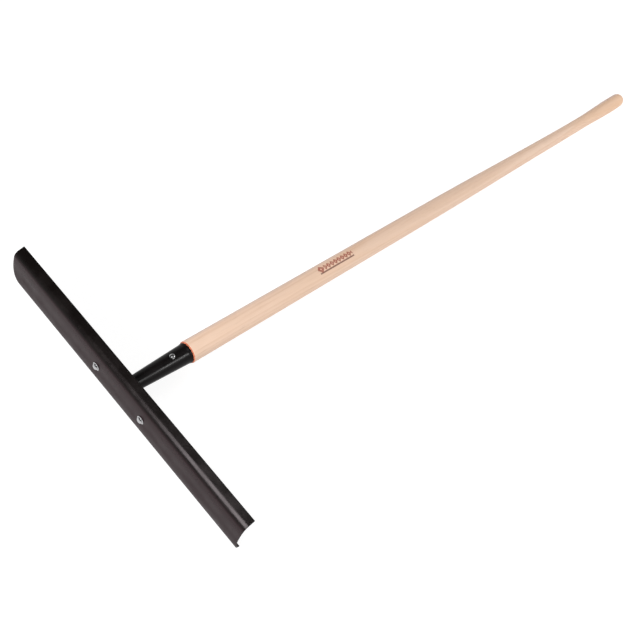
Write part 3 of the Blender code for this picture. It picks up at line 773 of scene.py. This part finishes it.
def make_nut(side, x):
    """A hexagon nut, chamfered at both faces, with a countersunk bore."""
    low = nut_seat_y()
    flat = NUT_ACROSS_FLATS / 2
    face = NUT_FACE_SHARE * flat
    angles = [2 * math.pi * j / NUT_SIDES for j in range(NUT_SIDES)]

    def hexagon(a):
        return flat / math.cos((a + math.pi / 6) % (math.pi / 3) - math.pi / 6)

    def chamfer(a):
        return (hexagon(a) - face) * math.tan(NUT_CHAMFER)

    def ring(radius_of, y_of):
        return [along_y(x)(radius_of(a), a, low + y_of(a)) for a in angles]

    bore = BOLT_RADIUS + NUT_BORE_CLEARANCE
    sink = BOLT_RADIUS + NUT_SINK_REACH
    rings = [
        ring(lambda a: bore, lambda a: NUT_SINK_DEPTH),
        ring(lambda a: sink, lambda a: 0.0),
        ring(lambda a: face, lambda a: 0.0),
        ring(hexagon, chamfer),
        ring(hexagon, lambda a: NUT_HEIGHT - chamfer(a)),
        ring(lambda a: face, lambda a: NUT_HEIGHT),
        ring(lambda a: sink, lambda a: NUT_HEIGHT),
        ring(lambda a: bore, lambda a: NUT_HEIGHT - NUT_SINK_DEPTH),
    ]
    verts, faces = loft(rings, closed=True)
    add_piece(f"nut_{side}_hex", verts, faces, ZINC, [f"nut_{side}"], sharp=25)


def socket_skin(x, y):
    """Height of the socket's outer surface over the axis at (x, y)."""
    return math.sqrt(socket_radius(y) ** 2 - x * x)


def make_rivet():
    """A round head bedded on the socket, a shank through the handle, a set tail and its burr."""
    top = socket_radius(RIVET_Y) + GAP
    sides = RIVET_SIDES
    rings = []

    def ring(radius, height_at):
        points = []
        for j in range(sides):
            a = 2 * math.pi * j / sides
            px, py = radius * math.cos(a), RIVET_Y + radius * math.sin(a)
            points.append((px, py, height_at(px, py)))
        rings.append(points)

    rim = RIVET_RIM
    dome = RIVET_HEAD_HEIGHT - rim
    for t in np.radians(np.linspace(RIVET_HEAD_START, 0, RIVET_HEAD_ROWS)):
        radius = RIVET_HEAD_RADIUS * math.cos(t)
        share = (radius / RIVET_HEAD_RADIUS) ** 2
        lift = rim + dome * math.sin(t)
        ring(radius, lambda px, py: share * (socket_skin(px, py) + GAP) + (1 - share) * top + lift)
    under_head = RIVET_HEAD_RADIUS - RIVET_UNDERCUT
    ring(under_head, lambda px, py: socket_skin(px, py) + RIVET_SEAT)
    ring(RIVET_RADIUS, lambda px, py: socket_skin(px, py) + RIVET_SEAT)
    burr_low = -socket_radius(RIVET_Y) - GAP - BURR_THICKNESS
    tail = burr_low - RIVET_TAIL_SINK
    ring(RIVET_RADIUS, lambda px, py: tail)
    ring(RIVET_TAIL_RADIUS - RIVET_TAIL_UNDERCUT, lambda px, py: tail)
    for t in np.radians(np.linspace(0, RIVET_TAIL_END, RIVET_TAIL_ROWS)):
        radius = RIVET_TAIL_RADIUS * (RIVET_TAIL_FLAT + (1 - RIVET_TAIL_FLAT) * math.cos(t))
        ring(radius, lambda px, py: tail - RIVET_TAIL_RIM - RIVET_TAIL_HEIGHT * math.sin(t))
    verts = [v for r in rings for v in r]
    faces = grid_faces(len(rings), sides)
    faces.append(tuple(range((len(rings) - 1) * sides, len(rings) * sides)))
    pole = len(verts)
    verts.append((0.0, RIVET_Y, top + RIVET_HEAD_HEIGHT))
    faces += [(pole, j, (j + 1) % sides) for j in range(sides)]
    add_piece("rivet_round_head", verts, faces, RIVET_STEEL, ["rivet"], sharp=40)

    rings = []
    inner, outer = RIVET_RADIUS + BURR_BORE_CLEARANCE, BURR_RADIUS
    trim = BURR_BEVEL
    ring(inner, lambda px, py: burr_low)
    ring(outer - trim, lambda px, py: burr_low)
    ring(outer, lambda px, py: burr_low + trim)
    ring(outer, lambda px, py: -socket_skin(px, py) - GAP)
    ring(inner, lambda px, py: -socket_skin(px, py) - GAP)
    verts, faces = loft(rings, closed=True)
    add_piece("rivet_burr_washer", verts, faces, RIVET_STEEL, ["rivet_burr"])


# Materials


class Shader:
    """A material whose Principled shader is fed by a small graph of nodes."""

    def __init__(self, name, color, roughness, metallic=0.0, **constants):
        self.material = bpy.data.materials.new(name)
        self.material.use_nodes = True
        self.tree = self.material.node_tree
        self.principled = self.tree.nodes["Principled BSDF"]
        self.set("Base Color", (*color, 1.0))
        self.set("Roughness", roughness)
        self.set("Metallic", metallic)
        for socket, value in constants.items():
            self.set(socket.replace("_", " "), value)

    def set(self, socket, value):
        """Sets a shader socket to a constant, or links it to a node's output."""
        self.connect(self.principled.inputs[socket], value)

    def connect(self, target, value):
        if isinstance(value, bpy.types.NodeSocket):
            self.tree.links.new(value, target)
        else:
            target.default_value = value

    def add(self, kind, inputs=(), output=0, **settings):
        """Adds a node; inputs are (socket name or number, value or output) pairs."""
        node = self.tree.nodes.new(kind)
        for name, value in settings.items():
            setattr(node, name, value)
        for socket, value in inputs:
            self.connect(node.inputs[socket], value)
        return node.outputs[output]

    def place(self):
        """The shaded point in the tool's frame."""
        to_tool = TOOL.inverted()
        return self.add(
            "ShaderNodeMapping",
            [
                ("Vector", self.add("ShaderNodeTexCoord", output="Object")),
                ("Location", to_tool.translation),
                ("Rotation", to_tool.to_euler()),
            ],
        )

    def split(self, vector):
        """The vector's x, y and z."""
        node = self.tree.nodes.new("ShaderNodeSeparateXYZ")
        self.connect(node.inputs[0], vector)
        return tuple(node.outputs)

    def stretched(self, vector, x, y, z):
        return self.add(
            "ShaderNodeMapping", [("Vector", vector), ("Scale", (x, y, z))], vector_type="POINT"
        )

    def noise(self, vector, scale, detail=3.0, roughness=0.5):
        inputs = [("Vector", vector), ("Scale", scale), ("Detail", detail), ("Roughness", roughness)]
        return self.add("ShaderNodeTexNoise", inputs, output="Fac")

    def math(self, operation, first, second=0.0, third=0.0):
        return self.add("ShaderNodeMath", [(0, first), (1, second), (2, third)], operation=operation)

    def remap(self, value, low, high, to_low=0.0, to_high=1.0, smooth=False):
        inputs = [("Value", value), ("From Min", low), ("From Max", high)]
        inputs += [("To Min", to_low), ("To Max", to_high)]
        kind = "SMOOTHSTEP" if smooth else "LINEAR"
        return self.add("ShaderNodeMapRange", inputs, interpolation_type=kind)

    def mix(self, factor, first, second):
        """A colour between two others."""
        first, second = ((*c, 1.0) if isinstance(c, tuple) else c for c in (first, second))
        node = self.tree.nodes.new("ShaderNodeMix")
        node.data_type = "RGBA"
        factor_input, first_input, second_input, colour_output = 0, 6, 7, 2
        self.connect(node.inputs[factor_input], factor)
        self.connect(node.inputs[first_input], first)
        self.connect(node.inputs[second_input], second)
        return node.outputs[colour_output]

    def bump(self, height, distance, strength=1.0, under=None):
        inputs = [("Height", height), ("Distance", distance), ("Strength", strength)]
        if under is not None:
            inputs.append(("Normal", under))
        return self.add("ShaderNodeBump", inputs)


def coat(name, color, roughness, peel, wear_amount, lower_tone=None):
    """Black coated steel: orange peel, patchy sheen, dust, and thin wear along its edges."""
    shader = Shader(name, color, roughness, Specular_IOR_Level=COAT_SHINE)
    place = shader.place()
    patches = shader.noise(place, scale=38.0, detail=4.0, roughness=0.55)
    fine = shader.noise(place, scale=1500.0, detail=2.0)
    wear = shader.add("ShaderNodeAttribute", attribute_name="wear", output="Fac")
    ragged = shader.noise(place, scale=420.0, detail=3.0, roughness=0.6)
    worn = shader.math("MULTIPLY", wear, ragged)
    worn = shader.remap(worn, 0.50, 0.62, to_high=wear_amount, smooth=True)
    dust = shader.remap(patches, 0.40, 0.80, smooth=True)
    brown = tuple(c * DUST_TINT for c in color)
    base = shader.mix(shader.math("MULTIPLY", dust, DUST_SHARE), color, brown)
    # The base turns lighter and warmer below the bend, towards the bottom of the blade.
    if lower_tone is not None:
        height = shader.split(place)[2]
        below = shader.remap(height, LOWER_TONE_TOP, LOWER_TONE_FULL, smooth=True)
        base = shader.mix(below, base, lower_tone)
    base = shader.mix(worn, base, WORN_METAL)
    shader.set("Base Color", base)
    sheen = shader.remap(patches, 0.3, 0.7, roughness - SHEEN_BELOW, roughness + SHEEN_ABOVE)
    sheen = shader.math("MULTIPLY_ADD", fine, FINE_ROUGHNESS, sheen)
    if lower_tone is not None:
        matt = shader.remap(height, MATT_START, MATT_FULL, to_high=MATT_ROUGHNESS, smooth=True)
        sheen = shader.math("ADD", sheen, matt)
    shader.set("Roughness", shader.math("MULTIPLY_ADD", worn, WORN_ROUGHNESS, sheen))
    peel_height = shader.noise(place, scale=650.0, detail=1.5, roughness=0.4)
    dents = shader.noise(place, scale=22.0, detail=1.0, roughness=0.3)
    wide = shader.bump(dents, distance=DENT_DEPTH, strength=DENT_STRENGTH)
    shader.set("Normal", shader.bump(peel_height, distance=PEEL_DEPTH, strength=peel, under=wide))
    return shader.material


def bright_steel(name, color, roughness, scratch):
    """Plated or bare steel with a fine crystalline mottle and faint scratches."""
    shader = Shader(name, color, roughness, 1.0)
    place = shader.place()
    mottle = shader.noise(place, scale=900.0, detail=3.0, roughness=0.6)
    darker = tuple(c * STEEL_SHADE for c in color)
    shader.set("Base Color", shader.mix(shader.remap(mottle, 0.35, 0.7), color, darker))
    rough = shader.remap(mottle, 0.3, 0.75, roughness - STEEL_BELOW, roughness + STEEL_ABOVE)
    shader.set("Roughness", rough)
    lines = shader.noise(shader.stretched(place, 1.0, 9.0, 0.6), scale=1400.0, detail=2.0)
    shader.set("Normal", shader.bump(lines, distance=SCRATCH_DEPTH, strength=scratch))
    return shader.material


def stamped_mark(shader, place):
    """How much of a point lies under the printed motif's lozenges, and how much under its underline."""
    x, y, z = shader.split(place)
    angle = shader.math("ARCTAN2", x, z)
    across = shader.math("MULTIPLY_ADD", angle, HANDLE_RADIUS, -HANDLE_RADIUS * MARK_ANGLE)
    lengthwise = shader.math("SUBTRACT", y, MARK_Y)
    across_size = shader.math("ABSOLUTE", across)

    def within(value, limit):
        return shader.remap(value, limit + MARK_EDGE, limit - MARK_EDGE, smooth=True)

    def lozenge(lengthwise_size, steepness, reach):
        slant = shader.math("MULTIPLY_ADD", lengthwise_size, steepness, across_size)
        return shader.math("SUBTRACT", within(slant, reach), within(slant, reach * MARK_HEART))

    along_row = shader.math("PINGPONG", lengthwise, MARK_PITCH / 2)
    row = lozenge(along_row, MARK_STEEPNESS, MARK_LOZENGE)
    row = shader.math("MULTIPLY", row, shader.math("GREATER_THAN", lengthwise, -MARK_ROW_START))
    lead_size = shader.math("ABSOLUTE", shader.math("ADD", lengthwise, MARK_LEAD_OFFSET))
    lead = lozenge(lead_size, 1.0, MARK_LEAD)
    off_line = shader.math("ABSOLUTE", shader.math("SUBTRACT", across, MARK_UNDERLINE))
    under = within(off_line, MARK_UNDERLINE_HALF)
    inside = within(shader.math("ABSOLUTE", lengthwise), MARK_HALF_LENGTH)
    ink = shader.noise(place, scale=900.0, detail=4.0, roughness=0.7)
    patchy = shader.remap(ink, 0.34, 0.48, to_low=0.55, smooth=True)
    printed = shader.math("MULTIPLY", patchy, shader.math("GREATER_THAN", z, 0.0))
    row = shader.math("MULTIPLY", row, inside)
    under = shader.math("MULTIPLY", under, inside)
    lozenges = shader.math("MULTIPLY", printed, shader.math("MAXIMUM", lead, row))
    return lozenges, shader.math("MULTIPLY", printed, under)


def turned_wood():
    """Pale straight-grained hardwood: growth rings cut lengthwise, pores and warm streaks."""
    shader = Shader("turned_ash", WOOD_PALE, 0.5, Specular_IOR_Level=0.25)
    place = shader.place()
    long_noise = shader.stretched(place, 1.0, 0.035, 1.0)
    wander = shader.noise(long_noise, scale=22.0, detail=2.0, roughness=0.45)
    x, y, z = shader.split(place)
    off_x = shader.math("SUBTRACT", x, PITH_X)
    off_z = shader.math("SUBTRACT", z, PITH_Z)
    squares = shader.math("MULTIPLY", off_z, off_z)
    squares = shader.math("ADD", shader.math("MULTIPLY", off_x, off_x), squares)
    radius = shader.math("MULTIPLY_ADD", wander, RING_WANDER, shader.math("SQRT", squares))
    ring = shader.math("FRACT", shader.math("DIVIDE", radius, RING_WIDTH))
    late = shader.remap(ring, 0.55, 0.97, smooth=True)
    early = shader.remap(ring, 0.0, 0.12, 1.0, 0.0, smooth=True)
    line = shader.math("MAXIMUM", late, early)
    broad = shader.noise(shader.stretched(place, 1.0, 0.06, 1.0), scale=60.0, detail=3.0, roughness=0.55)
    long_streaks = shader.stretched(place, 1.0, 0.02, 1.0)
    streaks = shader.noise(long_streaks, scale=380.0, detail=3.0, roughness=0.6)
    long_pores = shader.stretched(place, 1.0, 0.03, 1.0)
    pores = shader.noise(long_pores, scale=1500.0, detail=2.0, roughness=0.5)
    pore = shader.remap(pores, 0.60, 0.72, smooth=True)
    pore = shader.math("MULTIPLY", pore, shader.math("MULTIPLY_ADD", line, 0.6, 0.4))
    base = shader.mix(shader.math("MULTIPLY", line, RING_SHARE), WOOD_PALE, WOOD_RING)
    warm = shader.remap(broad, 0.48, 0.78, to_high=WARM_SHARE, smooth=True)
    base = shader.mix(warm, base, WOOD_WARM)
    streaky = shader.remap(streaks, 0.50, 0.80, to_high=STREAK_SHARE, smooth=True)
    base = shader.mix(streaky, base, WOOD_RING)
    base = shader.mix(shader.math("MULTIPLY", pore, PORE_SHARE), base, WOOD_PORE)
    tan = shader.remap(y, TAN_START_Y, TAN_END_Y, to_high=TAN_SHARE, smooth=True)
    base = shader.mix(tan, base, WOOD_TAN)
    # Painted shade: the handle's -X flank turns greyer and darker, as if in shade.
    flank_shade = shader.remap(x, FLANK_SHADE_START, FLANK_SHADE_FULL, to_high=FLANK_SHADE_SHARE, smooth=True)
    base = shader.mix(flank_shade, base, PAINTED_FLANK_SHADE)
    # Painted shadow: a thin orange-red contact shadow line on the wood just past the socket's mouth.
    from_mouth = shader.math("SUBTRACT", y, SOCKET_MOUTH_Y)
    mouth_shadow = shader.remap(from_mouth, MOUTH_SHADOW_FULL, MOUTH_SHADOW_END, MOUTH_SHADOW_SHARE, 0.0, smooth=True)
    base = shader.mix(mouth_shadow, base, PAINTED_MOUTH_SHADOW)
    mark, under = stamped_mark(shader, place)
    base = shader.mix(shader.math("MULTIPLY", mark, MARK_STRENGTH), base, MARK_INK)
    base = shader.mix(shader.math("MULTIPLY", under, MARK_STRENGTH), base, UNDERLINE_INK)
    shader.set("Base Color", base)
    rough = shader.remap(streaks, 0.3, 0.8, 0.50, 0.62)
    shader.set("Roughness", shader.math("MULTIPLY_ADD", pore, PORE_ROUGHNESS, rough))
    height = shader.math("MULTIPLY", streaks, STREAK_RELIEF)
    height = shader.math("MULTIPLY_ADD", pore, PORE_RELIEF, height)
    height = shader.math("MULTIPLY_ADD", mark, MARK_RELIEF, height)
    shader.set("Normal", shader.bump(height, distance=GRAIN_DEPTH, strength=GRAIN_STRENGTH))
    return shader.material


# Scene


def add_floor():
    """A wide pale floor under the tool."""
    shader = Shader("pale_floor", FLOOR_GREY, 0.8, Emission_Strength=FLOOR_GLOW)
    clouds = shader.noise(shader.place(), scale=3.0, detail=3.0)
    shader.set("Emission Color", shader.mix(clouds, WHITE, FLOOR_SHADE))
    mesh = bpy.data.meshes.new("floor")
    reach = FLOOR_REACH
    corners = [(-reach, -reach, 0), (reach, -reach, 0), (reach, reach, 0), (-reach, reach, 0)]
    mesh.from_pydata(corners, [], [(0, 1, 2, 3)])
    mesh.materials.append(shader.material)
    floor = bpy.data.objects.new("floor", mesh)
    floor.location.z = -FLOOR_DROP
    bpy.context.scene.collection.objects.link(floor)


def add_light(name, target, direction, distance, size, watts, **options):
    """A soft rectangular light that shines on a target from a direction.

    The options are tint, diffuse and glossy (whether it lights in that way) and only (the one piece
    that it lights).
    """
    light = bpy.data.lights.new(name, "AREA")
    light.shape = "RECTANGLE"
    light.size, light.size_y = size
    light.energy = watts
    light.color = options.get("tint", WHITE)
    obj = bpy.data.objects.new(name, light)
    way = Vector(direction).normalized()
    obj.location = Vector(target) + way * distance
    obj.rotation_euler = way.to_track_quat("Z", "Y").to_euler()
    obj.visible_camera = False
    obj.visible_diffuse = options.get("diffuse", True)
    obj.visible_glossy = options.get("glossy", True)
    bpy.context.scene.collection.objects.link(obj)
    if "only" in options:
        receivers = bpy.data.collections.new(name + "_receivers")
        receivers.objects.link(options["only"])
        obj.light_linking.receiver_collection = receivers


def light_scene(blade_piece, socket_piece):
    """Soft boxes all round, two sheens that each reach one piece, and a pale sky that fades upwards."""
    on_blade_only = {"diffuse": False, "only": blade_piece, "tint": SHEEN_TINT}
    on_socket_only = {"diffuse": False, "only": socket_piece}
    lights = (
        ("front_box", BLADE_TARGET, (0.02, -0.80, 0.59), 1.5, (0.90, 0.60), 29, {"glossy": False}),
        ("front_sheen", BLADE_TARGET, (0.04, -0.783, 0.622), 1.5, (0.78, 1.05), 82, on_blade_only),
        ("socket_sheen", SOCKET_TARGET, (0.617, 0.372, 0.691), 1.7, (0.45, 0.12), 15, on_socket_only),
        ("back_box", MIDDLE_TARGET, (0.25, 0.80, 0.60), 2.4, (1.6, 0.9), 29, {}),
        ("top_box", MIDDLE_TARGET, (0.0, -0.30, 1.0), 2.6, (1.0, 1.4), 12, {}),
        ("left_box", MIDDLE_TARGET, (-0.85, 0.0, 0.45), 2.6, (1.2, 1.0), 3, {}),
        ("right_box", MIDDLE_TARGET, (0.85, 0.0, 0.50), 2.6, (1.2, 1.0), 7, {}),
    )
    for name, target, direction, distance, size, watts, options in lights:
        add_light(name, target, direction, distance, size, watts, **options)
    world = bpy.data.worlds.new("studio")
    bpy.context.scene.world = world
    world.use_nodes = True
    background = world.node_tree.nodes["Background"]
    background.inputs["Color"].default_value = (*WHITE, 1.0)
    direction = world.node_tree.nodes.new("ShaderNodeTexCoord").outputs["Generated"]
    height = world.node_tree.nodes.new("ShaderNodeSeparateXYZ")
    fade = world.node_tree.nodes.new("ShaderNodeMapRange")
    fade.interpolation_type = "SMOOTHSTEP"
    fade.inputs["From Min"].default_value = SKY_FADE_START
    fade.inputs["From Max"].default_value = SKY_FADE_END
    fade.inputs["To Min"].default_value = HORIZON
    fade.inputs["To Max"].default_value = ZENITH
    world.node_tree.links.new(direction, height.inputs["Vector"])
    world.node_tree.links.new(height.outputs["Z"], fade.inputs["Value"])
    world.node_tree.links.new(fade.outputs["Result"], background.inputs["Strength"])


def add_camera():
    """The viewing position, in the tool's frame."""
    camera = bpy.data.cameras.new("camera")
    camera.sensor_width = CAMERA_SENSOR
    camera.lens = CAMERA_LENS
    obj = bpy.data.objects.new("camera", camera)
    bpy.context.scene.collection.objects.link(obj)
    right = Vector(CAMERA_RIGHT)
    up = Vector(CAMERA_UP)
    back = right.cross(up)
    turn = Matrix((right, up, back)).transposed().to_4x4()
    obj.matrix_world = TOOL @ Matrix.Translation(CAMERA_PLACE) @ turn
    bpy.context.scene.camera = obj


BLADE_COAT = coat("blade_black_coat", BLADE_BLACK, 0.25, peel=0.10, wear_amount=0.35, lower_tone=BLADE_LOWER_TONE)
SOCKET_COAT = coat("socket_black_coat", SOCKET_BLACK, 0.26, peel=0.03, wear_amount=0.3)
FRAME_COAT = coat("bracket_black_coat", BRACKET_BLACK, 0.32, peel=0.35, wear_amount=0.35)
WELD_COAT = coat("weld_black_coat", WELD_BLACK, 0.26, peel=0.25, wear_amount=0.0)
ZINC = bright_steel("zinc_plated", ZINC_GREY, 0.12, scratch=0.10)
RIVET_STEEL = bright_steel("rivet_bright_steel", RIVET_GREY, 0.20, scratch=0.2)
HANDLE_WOOD = turned_wood()

blade_sheet = make_blade()
make_bracket()
socket_tube = make_socket()
make_weld()
make_handle()
for side, x in BOLT_PLACES:
    make_bolt(side, x)
    make_washers(side, x)
    make_nut(side, x)
make_rivet()
add_floor()
light_scene(blade_sheet, socket_tube)
add_camera()
bpy.context.scene.view_settings.view_transform = "Standard"
